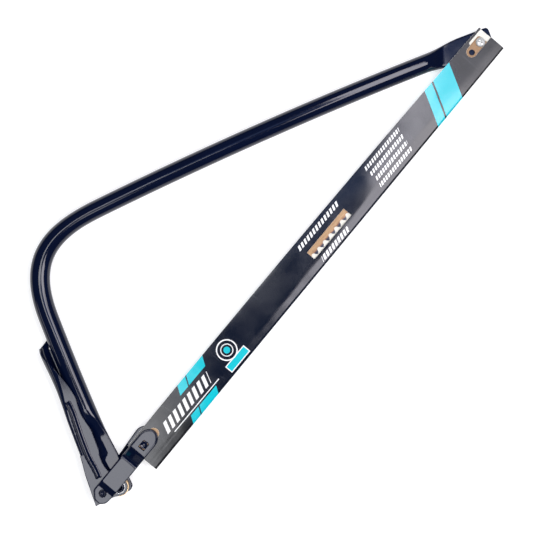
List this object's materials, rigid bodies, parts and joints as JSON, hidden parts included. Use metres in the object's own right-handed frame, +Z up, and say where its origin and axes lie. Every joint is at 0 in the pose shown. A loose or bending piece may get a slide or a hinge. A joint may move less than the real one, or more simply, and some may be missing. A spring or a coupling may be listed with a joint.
{
  "type": "bow saw",
  "caption": "Bow saw with a bent steel tube frame, a sleeved toothed blade and an over-centre tension lever that pulls the blade tight through two links.",
  "frame": {"origin": "under the middle of the bounding box, on the surface the saw lies on", "axes": "+X along the blade from the tension lever to the tip, +Y from the blade towards the bow, +Z up, away from the surface"},
  "size_m": [0.6176, 0.2354, 0.0332],
  "materials": {
    "navy_paint": "glossy dark navy powder coat",
    "bright_zinc": "bright zinc plate",
    "yellow_zinc": "yellow passivated zinc",
    "lacquered_steel": "clear gold-brown lacquer over ground steel, dark hardened teeth",
    "printed_card": "gloss laminated card, dark print with cyan stripes, off-white inside"
  },
  "bodies": {
    "frame": {"frame_tube": "navy_paint", "main_rivet": "navy_paint", "pivot_spacer_front": "yellow_zinc", "pivot_spacer_rear": "yellow_zinc", "rivet_washer_front": "bright_zinc", "rivet_washer_rear": "bright_zinc", "tip_screw": "bright_zinc", "tip_washer": "bright_zinc", "tip_nut": "bright_zinc"},
    "lever": {"tension_lever": "navy_paint", "link_pin": "navy_paint"},
    "link": {"link_plate_front": "navy_paint", "link_plate_rear": "navy_paint"},
    "blade": {"blade": "lacquered_steel", "blade_pin": "navy_paint", "blade_sleeve": "printed_card"}
  },
  "joints": [
    {"name": "lever_pivot", "type": "hinge", "parent": "frame", "child": "lever", "pos_m": [-0.27936, -0.1002, 0.0166], "axis": [0, 0, 1], "range_deg": [-3, 150]},
    {"name": "link_pivot", "type": "hinge", "parent": "lever", "child": "link", "pos_m": [-0.29426, -0.0917, 0.0166], "axis": [0, 0, 1], "range_deg": [-150, 3]},
    {"name": "blade_swing", "type": "hinge", "parent": "frame", "child": "blade", "pos_m": [0.29184, -0.093, 0.0166], "axis": [0, 0, 1], "range_deg": [0, 60]}
  ],
  "couplings": [
    {"joint": "link_pivot", "follows": "lever_pivot", "ratio": -1}
  ]
}
